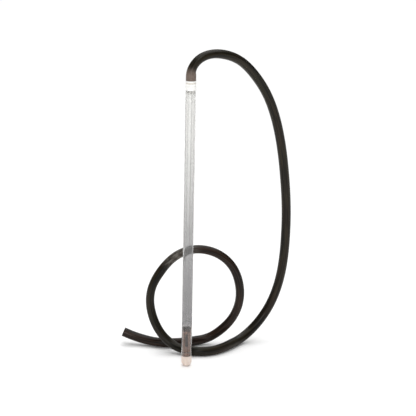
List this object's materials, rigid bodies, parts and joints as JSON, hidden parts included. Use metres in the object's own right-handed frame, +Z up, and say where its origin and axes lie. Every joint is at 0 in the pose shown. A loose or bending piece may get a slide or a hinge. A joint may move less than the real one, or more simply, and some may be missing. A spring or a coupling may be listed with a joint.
{
  "type": "pool cleaner",
  "caption": "Self-priming siphon wand for cleaning a pool: clear rigid tube with a check valve and soft nose, union, and long dark hose.",
  "frame": {"origin": "on the floor, under the middle of the nose tip's foot", "axes": "+Z up along the clear tube, +X towards the side where the hose comes down, +Y towards the hose's loop behind the tube"},
  "size_m": [0.569, 0.3048, 1.0609],
  "materials": {
    "clear_plastic": "clear rigid tube with faint drawing lines",
    "cream_plastic": "soft translucent cream",
    "brown_plastic": "satin brown",
    "taupe_plastic": "satin taupe",
    "dark_brown_plastic": "satin dark brown",
    "white_plastic": "satin white",
    "seal_rubber": "matt black",
    "dark_vinyl": "smooth satin dark brown"
  },
  "bodies": {
    "wand": {"clear_tube": "clear_plastic", "nose_tip": "cream_plastic", "valve_body": "brown_plastic", "body_o_ring": "seal_rubber", "valve_cage": "taupe_plastic", "cage_cap": "dark_brown_plastic", "tube_bush": "white_plastic", "bush_o_ring": "seal_rubber", "face_washer": "seal_rubber", "hose_barb": "white_plastic", "hose_cuff": "dark_vinyl", "hose": "dark_vinyl"},
    "poppet": {"poppet": "dark_brown_plastic", "poppet_seal": "seal_rubber"},
    "coupling_nut": {"coupling_nut": "white_plastic"}
  },
  "joints": [
    {"name": "poppet_lift", "type": "slide", "parent": "wand", "child": "poppet", "axis": [0, 0, 1], "range_m": [0, 0.01]},
    {"name": "nut_turn", "type": "hinge", "parent": "wand", "child": "coupling_nut", "pos_m": [0, 0, 0.9577], "axis": [0, 0, 1], "continuous": true}
  ]
}
